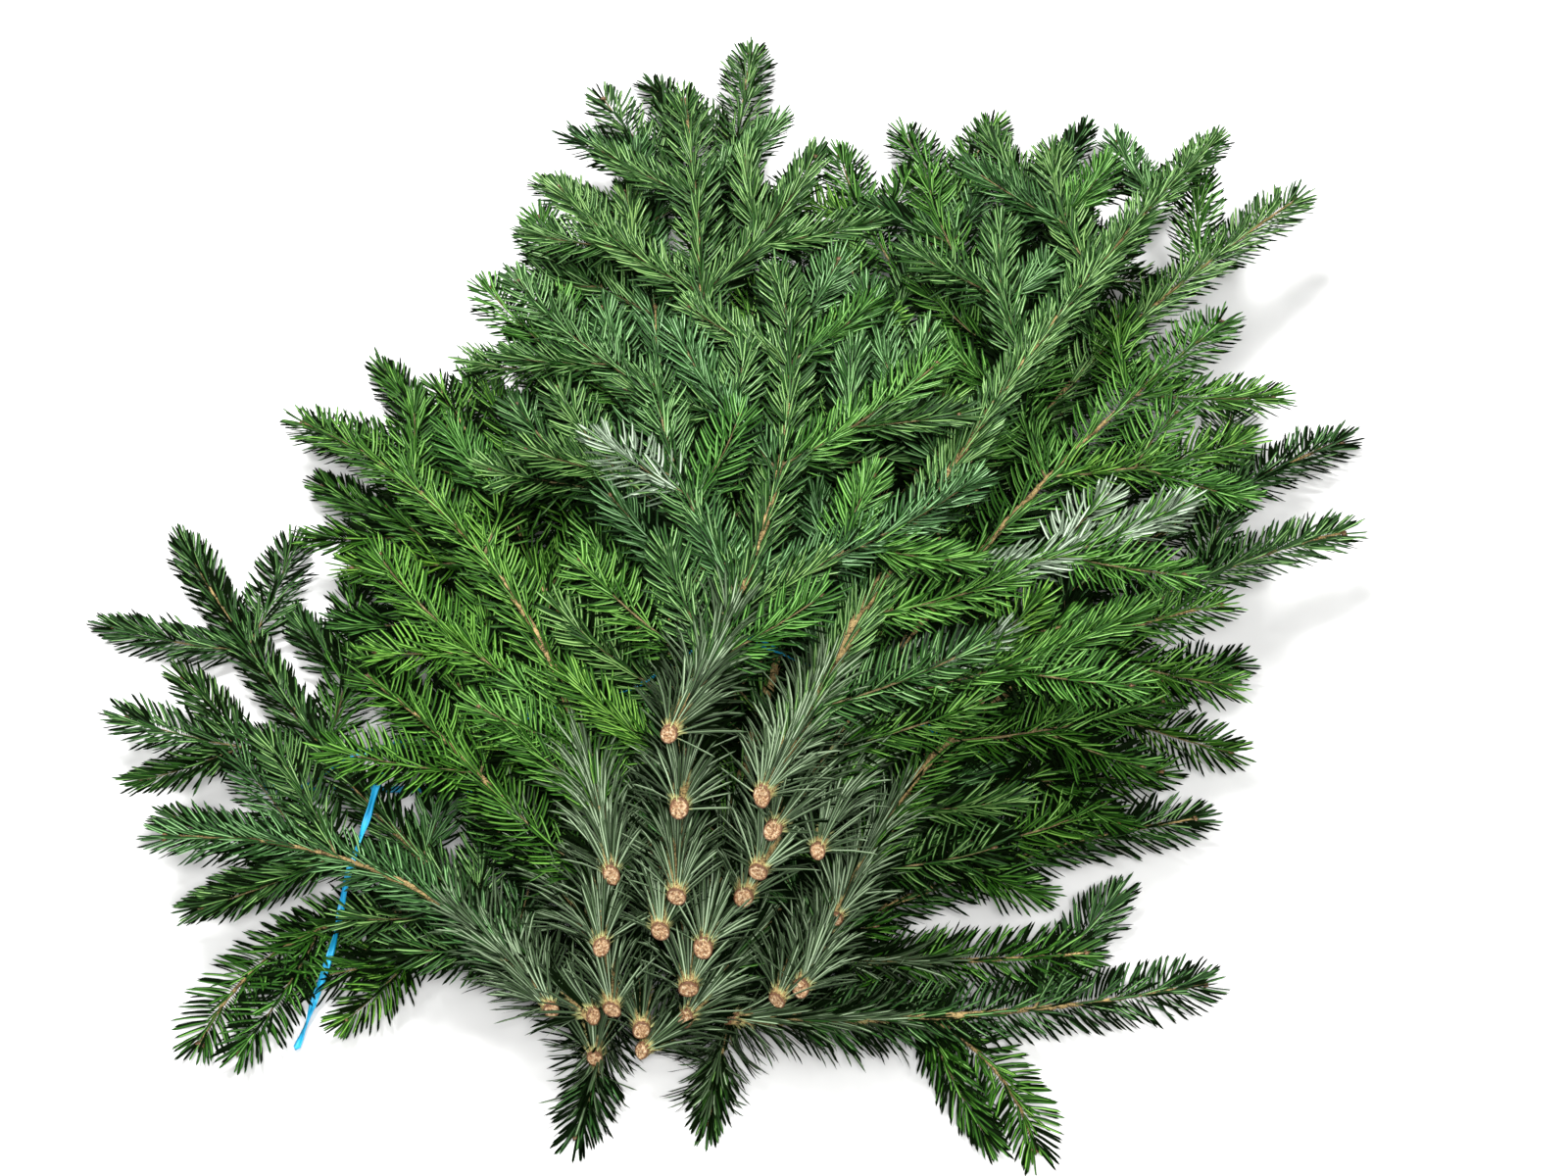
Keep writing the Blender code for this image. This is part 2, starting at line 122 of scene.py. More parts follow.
room = bpy.data.worlds.new("room")
room.use_nodes = True
room.node_tree.nodes["Background"].inputs["Color"].default_value = (0.97, 0.98, 1.0, 1)
room.node_tree.nodes["Background"].inputs["Strength"].default_value = ROOM_LIGHT
bpy.context.scene.world = room
bpy.context.scene.view_settings.view_transform = "Standard"


# The boughs as cut: each is a woody stem that bends evenly, sawn off square at its thick end, with a
# pair of side shoots for each year. They lie in a heap, lowest first, each drooping onto those below.
# A row gives a bough's sawn end, heading, sweep in degrees, length, the sides its shoots are on, and tone.
BOTH, LEFT, RIGHT = (-1, 1), (-1,), (1,)
DARK, GREEN, FRESH, SILVER = 0, 1, 2, 3
BOUGHS = [
    (-0.065, -0.225, 0.0168, -172, 10, 0.075, BOTH, DARK),
    (0.007, -0.217, 0.0186, -160, -15, 0.075, BOTH, DARK),
    (-0.072, -0.261, 0.020, -5, -160, 0.315, LEFT, GREEN),
    (0.024, -0.228, 0.020, 66, 105, 0.19, RIGHT, GREEN),
    (0.003, -0.242, 0.032, 89, -15, 0.27, LEFT, DARK),
    (0.032, -0.196, 0.018, 94, -10, 0.17, BOTH, GREEN),
    (-0.046, -0.260, 0.027, 49, 28, 0.36, LEFT, DARK),
    (-0.046, -0.252, 0.035, 0, -10, 0.55, BOTH, DARK),
    (-0.022, -0.248, 0.041, 31, 40, 0.43, BOTH, GREEN),
    (-0.072, -0.247, 0.042, -46, 18, 0.455, BOTH, DARK),
    (-0.062, -0.245, 0.045, -6, -25, 0.54, BOTH, GREEN),
    (-0.095, -0.245, 0.045, -32, -60, 0.27, BOTH, DARK),
    (0.028, -0.242, 0.050, 21, 37, 0.58, LEFT, DARK),
    (-0.076, -0.200, 0.055, -26, -25, 0.22, BOTH, FRESH),
    (-0.020, -0.238, 0.055, -1, 6, 0.81, LEFT, DARK),
    (0.041, -0.238, 0.056, 20, 50, 0.49, LEFT, DARK),
    (0.060, -0.200, 0.066, 18, 55, 0.34, RIGHT, GREEN),
    (-0.012, -0.224, 0.075, 10, 10, 0.74, BOTH, GREEN),
    (-0.067, -0.224, 0.076, -3, -25, 0.46, BOTH, FRESH),
    (-0.035, -0.219, 0.084, -3, -13, 0.59, RIGHT, GREEN),
    (0.010, -0.200, 0.088, 13, 12, 0.71, BOTH, DARK),
    (-0.062, -0.190, 0.095, -8, -42, 0.45, RIGHT, GREEN),
    (-0.026, -0.207, 0.100, -1, -6, 0.65, BOTH, DARK),
    (0.018, -0.199, 0.112, 17, 30, 0.68, LEFT, DARK),
    (0.050, -0.192, 0.122, 10, 65, 0.25, BOTH, FRESH),
    (0.026, -0.185, 0.132, 27, 13, 0.52, BOTH, GREEN),
    (-0.024, -0.178, 0.142, 4, -10, 0.61, BOTH, DARK),
    (0.020, -0.174, 0.148, 24, 6, 0.67, LEFT, DARK),
    (-0.029, -0.154, 0.177, 25, -34, 0.41, BOTH, DARK),
]
BUTT_LENGTH = 0.036
BUTT_SIDES = 10
STIFF_LENGTH = 0.08
DROOPS = (0.0, 0.15, 0.30, 0.45, 0.60, 0.80)
YEAR_GROWTH = 0.102
YEAR_SPREAD = (0.93, 1.05)
PAIR_SPREAD = 0.004
PAIR_STEP = 0.0006
LENGTH_SPREAD = (0.88, 1.08)
SIDE_LENGTHS = (0.088, 0.140, 0.170, 0.170)
SIDE_ANGLES = (42, 54)
SIDE_BEND = 26
SIDE_RISES = (-0.06, 0.10)
FIRST_SIDE = 0.07

sawn_ends = np.array([row[:3] for row in BOUGHS])
headings = np.radians([row[3] for row in BOUGHS])
sweeps = np.radians([row[4] for row in BOUGHS])
lengths = np.array([row[5] for row in BOUGHS])
tones = np.array([row[7] for row in BOUGHS])


def vertices_of(node):
    """The node's different points, as an array."""
    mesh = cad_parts[node].data
    found = np.empty(len(mesh.vertices) * 3, np.float32)
    mesh.vertices.foreach_get("co", found)
    return np.unique(found.reshape(-1, 3).round(7), axis=0).astype(float)


def arc(start, heading, sweep, length, rise, distance):
    """The points this far along arcs, and the headings there. The chord of an arc that turns by a is
    its length times sin(a / 2) / (a / 2), and points a / 2 past the arc's start."""
    half_turn = sweep * distance / length / 2
    chord = distance * np.sinc(half_turn / np.pi)
    towards = heading + half_turn
    offset = np.stack([chord * np.sin(towards), chord * np.cos(towards), rise * distance], -1)
    return start + offset, heading + 2 * half_turn


def laid(points, bough):
    """Points of boughs, lowered to where they lie: raised by the bough's slope times their distance
    from its sawn end, and sunk by its droop times the square of what lies past the stiff stretch."""
    reach = points[..., :2] - sawn_ends[bough, :2]
    distance = np.hypot(reach[..., 0], reach[..., 1])
    lowered = points.copy()
    lowered[..., 2] += slopes[bough] * distance - droops[bough] * np.maximum(distance - STIFF_LENGTH, 0) ** 2
    return lowered


def lie_of(number):
    """How a bough lies, read from its solids: the slope from how far its butt climbs, the droop from
    how low its tip is, and the slope again from both."""
    butt = vertices_of(f"bough_{number + 1:02d}_butt")
    foliage = vertices_of(f"bough_{number + 1:02d}_foliage")
    out = np.hypot(*(butt[:, :2] - sawn_ends[number, :2]).T)
    inner = out > BUTT_LENGTH * 0.8
    slope = (butt[inner, 2].mean() - sawn_ends[number, 2]) / out[inner].mean()
    tip = arc(sawn_ends[number], headings[number], sweeps[number], lengths[number], 0, lengths[number])[0]
    nearest = foliage[np.hypot(*(foliage[:, :2] - tip[:2]).T).argmin()]
    span = math.hypot(*(tip[:2] - sawn_ends[number, :2]))
    bent = max(span - STIFF_LENGTH, 1e-9) ** 2
    droop = (sawn_ends[number, 2] + slope * span - nearest[2]) / bent
    droop = min(DROOPS, key=lambda value: abs(value - droop)) if bent > 1e-4 else 0.0
    return (nearest[2] - sawn_ends[number, 2] + droop * bent) / span, droop


def heap_shift(number):
    """How far the solids were moved to stand at the origin: where a butt's sawn end is, less where the
    list has it."""
    butt = vertices_of(f"bough_{number + 1:02d}_butt")[:, :2]
    along = butt @ (math.sin(headings[number]), math.cos(headings[number]))
    return butt[along.argsort()[:BUTT_SIDES]].mean(axis=0) - sawn_ends[number, :2]


sawn_ends[:, :2] += heap_shift(len(BOUGHS) - 1)
slopes, droops = np.array([lie_of(number) for number in range(len(BOUGHS))]).T


def year_shoots(number):
    """The side shoots of one bough: a pair at each year's end, counted back from the tip. The older
    ones are longer, and all bend forwards."""
    rng = random.Random(number + 1)
    made = []
    stem = sawn_ends[number], headings[number], sweeps[number], lengths[number], 0
    for year, year_length in enumerate(SIDE_LENGTHS):
        place = lengths[number] - YEAR_GROWTH * (year + rng.uniform(*YEAR_SPREAD))
        if place < FIRST_SIDE:
            break
        for side in BOUGHS[number][6]:
            start, heading = arc(*stem, place + rng.uniform(-PAIR_SPREAD, PAIR_SPREAD))
            start[2] += PAIR_STEP * side
            angle = math.radians(rng.uniform(*SIDE_ANGLES)) * side
            bend = -math.radians(SIDE_BEND) * side * year_length / SIDE_LENGTHS[-1]
            rise = rng.uniform(*SIDE_RISES)
            length = year_length * rng.uniform(*LENGTH_SPREAD)
            made.append((number, 1, *start, heading + angle, bend, length, rise))
    return made


def small_twigs(parents, seed, places, angle, length_share, limits):
    """Thin twigs on shoots, in pairs at these shares of their length, leaning forwards."""
    rng = np.random.default_rng(seed)
    made = []
    for share in places:
        for side in (-1, 1):
            count = len(parents)
            at = (share + rng.uniform(-0.05, 0.05, count)) * parents[:, 7]
            start, heading = arc(parents[:, 2:5], *parents[:, 5:9].T[:2], parents[:, 7], parents[:, 8], at)
            turn = np.radians(rng.uniform(*angle, count)) * side
            length = np.clip(parents[:, 7] * (1 - share) * length_share, *limits)
            length *= rng.uniform(0.8, 1.1, count)
            rise = parents[:, 8] + rng.uniform(-0.08, 0.14, count)
            rows = [parents[:, 0], parents[:, 1] + 1, *start.T, heading + turn, -turn * 0.3, length, rise]
            made.append(np.stack(rows, -1))
    return np.concatenate(made)


# Each shoot is a row: its bough, its order (0 for a stem), start, heading, sweep, length and rise.
stems = np.array([(n, 0, *sawn_ends[n], headings[n], sweeps[n], lengths[n], 0) for n in range(len(BOUGHS))])
sides = np.array([row for number in range(len(BOUGHS)) for row in year_shoots(number)])
twigs = small_twigs(sides[sides[:, 7] > 0.115], 3, (0.42,), (38, 52), 0.85, (0.035, 0.07))
low_twigs = small_twigs(stems[stems[:, 7] > 0.4], 5, (0.14, 0.24), (40, 62), 0.2, (0.05, 0.10))
shoots = np.concatenate([stems, sides, twigs, low_twigs])
bough_of = shoots[:, 0].astype(int)


def on_shoots(rows, distance):
    """Points this far along shoots, where they lie, with their run, level side and upward directions."""
    spread = (slice(None), None) if distance.ndim == 2 else slice(None)
    bough = rows[:, 0].astype(int)[spread]
    columns = [rows[:, column][spread] for column in (5, 6, 7, 8)]
    here = laid(arc(rows[:, 2:5][spread], *columns, distance)[0], bough)
    ahead = laid(arc(rows[:, 2:5][spread], *columns, distance + 0.001)[0], bough)
    run = (ahead - here) / np.linalg.norm(ahead - here, axis=-1, keepdims=True)
    level = np.cross(run, (0, 0, 1))
    level /= np.linalg.norm(level, axis=-1, keepdims=True)
    return here, run, level, np.cross(level, run)


# Stems: woody, round and thin, rough with the pegs that needles leave, and bare only close to the sawn
# end. Each is a tube whose radius shrinks from the butt to the tip, with the bark's pegs standing on it.
STEM_RINGS = 170
STEM_SIDES = 12
THIN_BUTT = 0.0070
BUTT_GROWTH = 0.0052
TIP_RADIUS = 0.0007
TWIG_RADIUS = 0.0012
PEG_HEIGHT = 0.0007
PEG_EVERY = 3
CUT_SLANT = (26, 0)
CUT_SPREAD = (9, 12)
CUT_FADE = 0.010
LOWEST_WOOD = 0.0004
BARK_COLOURS = [(0.40, (0.040, 0.027, 0.010)), (0.47, (0.23, 0.16, 0.060)), (0.57, (0.46, 0.33, 0.135))]
TWIG_COLOURS = [(0.36, (0.040, 0.031, 0.011)), (0.50, (0.165, 0.124, 0.050)), (0.64, (0.33, 0.26, 0.115))]


class Socket:
    """A value in a material, on which plain arithmetic adds the nodes that work it out."""

    def __init__(self, nodes, output):
        self.nodes = nodes
        self.output = output

    def maths(self, operation, first, second):
        return add_node(self.nodes, "ShaderNodeMath", {"operation": operation}, {0: first, 1: second})

    def __add__(self, other):
        return self.maths("ADD", self, other)

    def __mul__(self, other):
        return self.maths("MULTIPLY", self, other)

    def __sub__(self, other):
        return self.maths("SUBTRACT", self, other)

    def __rsub__(self, other):
        return self.maths("SUBTRACT", other, self)

    __radd__ = __add__
    __rmul__ = __mul__


def add_node(nodes, kind, settings, inputs, output=0):
    """One node of this kind: its settings first, or its ramp's stops, and then its sockets' values or
    links. Gives one of its outputs."""
    node = nodes.nodes.new(kind)
    for name, value in settings.items():
        if name != "stops":
            setattr(node, name, value)
    for _ in settings.get("stops", ())[2:]:
        node.color_ramp.elements.new(1)
    for number, (place, colour) in enumerate(settings.get("stops", ())):
        node.color_ramp.elements[number].position = place
        node.color_ramp.elements[number].color = (*colour, 1)
    for name, value in inputs.items():
        if isinstance(value, Socket):
            nodes.links.new(value.output, node.inputs[name])
        else:
            node.inputs[name].default_value = value
    return Socket(nodes, node.outputs[output])


def feed(nodes, socket, value):
    nodes.links.new(value.output, socket)


def noise(nodes, scale, detail=3):
    """Soft noise in space, from 0 to 1, with this many waves to the metre."""
    place = add_node(nodes, "ShaderNodeTexCoord", {}, {}, "Object")
    return add_node(nodes, "ShaderNodeTexNoise", {}, {"Vector": place, "Scale": scale, "Detail": detail})


def bark_material(name, pattern_size, height, colours):
    """Bark: dark cracks between tan scales and pegs, raised a little where it is pale."""
    bark, nodes, inputs = new_material(name, 0.75, 0.3)
    scales = noise(nodes, 1 / pattern_size, 4) * 0.6 + noise(nodes, 0.2 / pattern_size, 2) * 0.4
    feed(nodes, inputs["Base Color"], add_node(nodes, "ShaderNodeValToRGB", {"stops": colours}, {"Fac": scales}))
    bump = add_node(nodes, "ShaderNodeBump", {}, {"Height": scales, "Strength": 0.6, "Distance": height})
    feed(nodes, inputs["Normal"], bump)
    return bark


def wood_radius(rows, distance):
    """Half the thickness of a shoot's wood, from its thick end's to the tip's: it shrinks with the
    square of the share of the length that is left."""
    thick = np.where(rows[:, 1] == 0, (THIN_BUTT + BUTT_GROWTH * rows[:, 7]) / 2, TWIG_RADIUS * (rows[:, 7] / 0.15) ** 0.5)
    length = rows[:, 7]
    if distance.ndim == 2:
        thick, length = thick[:, None], length[:, None]
    thin = np.minimum(thick * 0.5, TIP_RADIUS)
    return thin + (thick - thin) * np.clip(1 - distance / length, 0, 1) ** 2.0


def wood_tubes(rows, shares, sides, pegs):
    """Points of tubes along shoots, (shoots, rings, sides, 3): about each place along a shoot, a ring of
    its wood's radius plus the pegs' height there, kept above the floor."""
    distance = shares[None] * (rows[:, 7:8] - 0.001)
    centre, run, level, up = on_shoots(rows, distance)
    around = 2 * np.pi * np.arange(sides) / sides
    spokes = level[:, :, None] * np.cos(around)[:, None] + up[:, :, None] * np.sin(around)[:, None]
    tube = centre[:, :, None] + spokes * (wood_radius(rows, distance)[..., None] + pegs)[..., None]
    tube[..., 2] = np.maximum(tube[..., 2], LOWEST_WOOD)
    return tube


def capped(tubes):
    """Tubes with a flat cap at both ends: one more ring there, drawn together in the end's middle."""
    caps = tubes[:, [0, -1]].mean(axis=2, keepdims=True).repeat(tubes.shape[2], axis=2)
    return np.concatenate([caps[:, :1], tubes, caps[:, 1:]], axis=1)


def grid_faces(rows, columns, sheets, closed=True):
    """Four-sided faces of grids of points, all alike, one after another. A closed one joins round. They
    face outwards where a row runs from the right over the top, as seen along the rows."""
    r, c = np.meshgrid(np.arange(rows - 1), np.arange(columns if closed else columns - 1), indexing="ij")
    after = (c + 1) % columns
    here, beyond = r * columns, (r + 1) * columns
    grid = np.stack([here + c, beyond + c, beyond + after, here + after], -1)
    return (grid.reshape(-1, 4)[None] + (np.arange(sheets) * rows * columns)[:, None, None]).reshape(-1, 4)


def add_piece(name, points, faces, material, smooth=True):
    """A piece made of points (n, 3) and faces (m, 3 or 4), all of one size."""
    mesh = bpy.data.meshes.new(name)
    mesh.vertices.add(len(points))
    mesh.vertices.foreach_set("co", np.ascontiguousarray(points, np.float32).ravel())
    mesh.loops.add(faces.size)
    mesh.loops.foreach_set("vertex_index", np.ascontiguousarray(faces, np.int32).ravel())
    mesh.polygons.add(len(faces))
    mesh.polygons.foreach_set("loop_start", np.arange(0, faces.size, faces.shape[1], dtype=np.int32))
    mesh.update(calc_edges=True)
    mesh.polygons.foreach_set("use_smooth", np.full(len(faces), smooth))
    mesh.materials.append(material)
    piece = bpy.data.objects.new(name, mesh)
    bpy.context.scene.collection.objects.link(piece)
    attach(piece, "root")
    return piece


def give_values(piece, name, values):
    """Gives a piece's points a value each, which its material reads by this name."""
    attribute = piece.data.attributes.new(name, "FLOAT", "POINT")
    attribute.data.foreach_set("value", np.ascontiguousarray(values, np.float32).ravel())


def close_ends(piece):
    """Merges a piece's points that lie at one place, as those of a drawn-together ring do."""
    merged = bmesh.new()
    merged.from_mesh(piece.data)
    bmesh.ops.remove_doubles(merged, verts=merged.verts, dist=0.000001)
    merged.to_mesh(piece.data)
    merged.free()


def cut_aslant(points, distance):
    """Points of stems (stems, rings, sides, 3), moved along the run by their height over the stem's
    middle times the cut's slope, upwards and sideways. It fades with the distance from the cut."""
    centre, run, level, up = on_shoots(stems, distance)
    slopes_here = up * cut_slopes[:, :1, None] + level * cut_slopes[:, 1:, None]
    moved = ((points - centre[:, :, None]) * slopes_here[:, :, None]).sum(axis=-1)
    return points + run[:, :, None] * (moved * np.exp(-distance / CUT_FADE)[..., None])[..., None]


rng = np.random.default_rng(11)
cut_slopes = np.tan(np.radians(rng.normal(CUT_SLANT, CUT_SPREAD, (len(stems), 2))))
ring_number, side_number = np.meshgrid(np.arange(STEM_RINGS), np.arange(STEM_SIDES), indexing="ij")
pegs = np.where((ring_number + 2 * side_number) % PEG_EVERY == 0, PEG_HEIGHT, 0)[None]
pegs = pegs * rng.uniform(0.2, 1, (len(stems), STEM_RINGS, STEM_SIDES))
pegs[:, 0] = 0
pegs[:, :20] *= 0.4
ring_shares = np.linspace(0, 1, STEM_RINGS) ** 1.6
tube = wood_tubes(stems, ring_shares, STEM_SIDES, pegs)
tube = cut_aslant(tube, ring_shares[None] * (stems[:, 7:8] - 0.001))
tube[..., 2] = np.maximum(tube[..., 2], LOWEST_WOOD)
faces = grid_faces(STEM_RINGS + 2, STEM_SIDES, len(stems))
bark = bark_material("fir bark", 0.0011, 0.0006, BARK_COLOURS)
stem_piece = add_piece("stems", capped(tube).reshape(-1, 3), faces, bark)
close_ends(stem_piece)
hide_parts(*[f"bough_{number + 1:02d}_butt" for number in range(len(BOUGHS))])


# Cut ends: orange wood, torn and uneven, with pale dried resin on it and a thin dark rim of bark. They
# were cut a little aslant, so that they face upwards. Each is a disc of rings that closes its stem.
END_RINGS = 9
END_SIDES = 24
TORN = 0.00028
COLLAR = 0.0014
WOOD_COLOURS = [
    (0.40, (0.15, 0.060, 0.024)),
    (0.47, (0.40, 0.205, 0.090)),
    (0.53, (0.62, 0.38, 0.19)),
    (0.60, (0.80, 0.66, 0.44)),
]
RIM_COLOUR = (0.14, 0.055, 0.020)

share = np.linspace(0, 1, END_RINGS)
around = 2 * np.pi * np.arange(END_SIDES) / END_SIDES
at_end = np.zeros(len(stems))
centre, run, level, up = on_shoots(stems, at_end)
spokes = level[:, None] * np.cos(around)[:, None] + up[:, None] * np.sin(around)[:, None]
torn = rng.normal(0, TORN, (len(stems), END_RINGS, END_SIDES)) * (share < 1)[:, None]
torn[:, 0] = torn[:, :1, :1][:, 0]
discs = spokes[:, None] * (wood_radius(stems, at_end)[:, None, None, None] * share[:, None, None])
discs = centre[:, None, None] + discs - run[:, None, None] * (0.0004 + torn)[..., None]
discs = cut_aslant(discs, np.zeros((len(stems), END_RINGS)))
discs = np.concatenate([discs, discs[:, -1:] + run[:, None, None] * COLLAR], axis=1)
discs = capped(discs)[:, 1:]
share = np.append(share, (1, 1))
discs[..., 2] = np.maximum(discs[..., 2], LOWEST_WOOD)

cut_wood, nodes, inputs = new_material("cut fir wood", 0.5)
out_from_pith = add_node(nodes, "ShaderNodeAttribute", {"attribute_name": "out_from_pith"}, {}, "Fac")
mottle = noise(nodes, 700, 2) * 0.55 + noise(nodes, 2200, 3) * 0.45
mottled = add_node(nodes, "ShaderNodeValToRGB", {"stops": WOOD_COLOURS}, {"Fac": mottle})
rimmed = {0: (out_from_pith - 0.77) * 6.0, 6: mottled, 7: (*RIM_COLOUR, 1)}
feed(nodes, inputs["Base Color"], add_node(nodes, "ShaderNodeMix", {"data_type": "RGBA"}, rimmed, 2))
feed(nodes, inputs["Normal"], add_node(nodes, "ShaderNodeBump", {}, {"Height": mottle, "Distance": 0.0008}))
faces = grid_faces(END_RINGS + 2, END_SIDES, len(stems))
end_piece = add_piece("cut_ends", discs.reshape(-1, 3), faces, cut_wood)
give_values(end_piece, "out_from_pith", np.broadcast_to(share[None, :, None], discs.shape[:3]))
close_ends(end_piece)


# Twigs: the side shoots' own wood, tan and finely rough. Each is a thin tube.
TWIG_RINGS = 14
TWIG_SIDES = 6

side_twigs = shoots[len(stems):]
tube = wood_tubes(side_twigs, np.linspace(0, 1, TWIG_RINGS), TWIG_SIDES, np.zeros((1, TWIG_RINGS, TWIG_SIDES)))
faces = grid_faces(TWIG_RINGS + 2, TWIG_SIDES, len(side_twigs))
twig_piece = add_piece("twigs", capped(tube).reshape(-1, 3), faces, bark_material("twig bark", 0.0006, 0.0002, TWIG_COLOURS))
close_ends(twig_piece)


# Buds: one at each shoot's tip and two beside it on the stronger ones, brown, blunt and resinous. Each
# is a small egg whose radius follows a half sine along it.
BUD_LENGTH = 0.0046
BUD_RADIUS = 0.0015
BUD_RINGS = 6
BUD_SIDES = 6
BUD_COLOURS = [(0.35, (0.060, 0.026, 0.010)), (0.65, (0.24, 0.13, 0.05))]

strong = np.flatnonzero(shoots[:, 7] > 0.12)
bud_owner = np.concatenate([np.arange(len(shoots)), strong, strong])
bud_side = np.concatenate([np.zeros(len(shoots)), np.full(len(strong), -1), np.full(len(strong), 1)])
centre, run, level, up = on_shoots(shoots[bud_owner], shoots[bud_owner, 7] - 0.001)
axis = run + level * bud_side[:, None] * 0.8
axis /= np.linalg.norm(axis, axis=1)[:, None]
across = np.cross(axis, up)
above = np.cross(across, axis)
share = np.linspace(0, 1, BUD_RINGS)
around = 2 * np.pi * np.arange(BUD_SIDES) / BUD_SIDES
spokes = across[:, None] * np.cos(around)[:, None] + above[:, None] * np.sin(around)[:, None]
girth = BUD_RADIUS * np.sin(np.pi * share ** 0.8)
eggs = centre[:, None, None] + axis[:, None, None] * (BUD_LENGTH * share)[:, None, None]
eggs = eggs + spokes[:, None] * girth[:, None, None]
eggs[..., 2] = np.maximum(eggs[..., 2], LOWEST_WOOD)

bud_scales, nodes, inputs = new_material("bud scales", 0.4)
colour = add_node(nodes, "ShaderNodeValToRGB", {"stops": BUD_COLOURS}, {"Fac": noise(nodes, 800)})
feed(nodes, inputs["Base Color"], colour)
faces = grid_faces(BUD_RINGS, BUD_SIDES, len(bud_owner))
close_ends(add_piece("buds", eggs.reshape(-1, 3), faces, bud_scales))


# Needles: flat, blunt and glossy, with a groove along the middle. They stand out to both sides of a shoot as a
# comb of two layers, and shorter ones over it lie forwards. Near the cut end they stand all about the stem like a
# brush. Each is a folded, bent blade of twelve small faces, pale yellow at its foot, with a painted highlight, a
# light streak painted along its fold, and painted shade along its edges. The lower layer's needles, which lie in
# the shade, and those deep in the heap or near the floor are painted darker as painted shade. The ones painted
# darkest are flat ones of six, in a near-black matt material of painted shade.
COMB_SPACING = 0.00155
OVER_SPACING = 0.00122
BRUSH_SPACING = 0.00030
BRUSH_LENGTH = 0.085
BARE_BUTT = 0.0008
CROWDED = 1.4
NEEDLE_LENGTH = 0.0228
BRUSH_NEEDLE = 0.0285
NEEDLE_WIDTH = 0.0017
NEEDLE_GROOVE = 0.00065
NECK, MIDDLE, SHOULDER = 0.14, 0.52, 0.88
LOWEST_NEEDLE = 0.0005
MOST_NEEDLES = 16000
HIDDEN_DEPTH = 0.045
# Needles deeper in the heap, seen from above and the front, are painted darker over this depth: painted shade.
SHADED_DEPTH = 0.0105
SQUARE = 0.008
NEEDLE_COLOURS = [
    ("dark", 0.22, 0.18, (0.001, 0.003, 0.001), (0.021, 0.092, 0.010), (0.33, 0.54, 0.22)),
    ("green", 0.24, 0.15, (0.001, 0.004, 0.001), (0.028, 0.122, 0.006), (0.28, 0.53, 0.13)),
    ("fresh", 0.26, 0.14, (0.001, 0.005, 0.001), (0.032, 0.130, 0.005), (0.27, 0.52, 0.10)),
    ("silver", 0.45, 0.25, (0.020, 0.034, 0.020), (0.240, 0.320, 0.220), (0.70, 0.82, 0.68)),
    ("shaded", 0.50, 0.02, (0.002, 0.006, 0.001), (0.014, 0.042, 0.007), (0.024, 0.070, 0.012)),
    # The old needles by the cut end are greyer, partly because they are older and partly as a painted sheen, the
    # grey reflection of a bright sky.
    ("old", 0.28, 0.24, (0.002, 0.005, 0.001), (0.072, 0.126, 0.050), (0.54, 0.66, 0.44)),
]
SHADED, OLD_AND_SHEEN = 4, 5
DARK_SWEPT = 0.24
DIMMEST = 0.0
# A needle's colour reaches the light colour at the first shade and the lit colour, a painted highlight, at the
# second. The painted highlight raises the shade along each needle's fold by the next amount and lowers it at its
# edges.
LIGHT_AT, PAINTED_HIGHLIGHT_AT = 0.88, 1.50
PAINTED_HIGHLIGHT = 0.70
NOT_TURNED = 0.30
# Needles within this reach of the floor are painted darker: painted shade.
FLOOR_SHADE, FLOOR_REACH = 0.44, 0.080
COOL_TINT, WARM_TINT = (0.87, 0.97, 1.10), (1.08, 1.03, 0.78)
FOOT_COLOUR = (0.66, 0.66, 0.27)
STANDS_PROUD = (0.016, 0.016, 0.006)
SILVER_PLACES = [(-0.089, -0.096), (0.207, -0.068), (0.219, -0.097), (0.098, -0.199)]
ABOVE_AND_FRONT = ((0, 0, 1), (0, -0.7, 0.7))
ALL_ROUND = ((0, 0, 1), (0, 0, -1), (0, -1, 0), (0, 1, 0), (-1, 0, 0), (1, 0, 0))


def spread_out(rows, spacing, first, last, rng):
    """Which shoot each needle grows on and how far along it: evenly spaced, with a little scatter."""
    counts = (np.maximum(last - first, 0) / spacing).astype(int)
    owner = np.repeat(np.arange(len(rows)), counts)
    order = np.arange(len(owner)) - np.repeat(np.cumsum(counts) - counts, counts)
    share = (order + 0.5 + rng.uniform(-0.35, 0.35, len(owner))) / counts[owner]
    return owner, first[owner] + share * (last - first)[owner], order


def unit(vectors):
    return vectors / np.linalg.norm(vectors, axis=-1, keepdims=True)


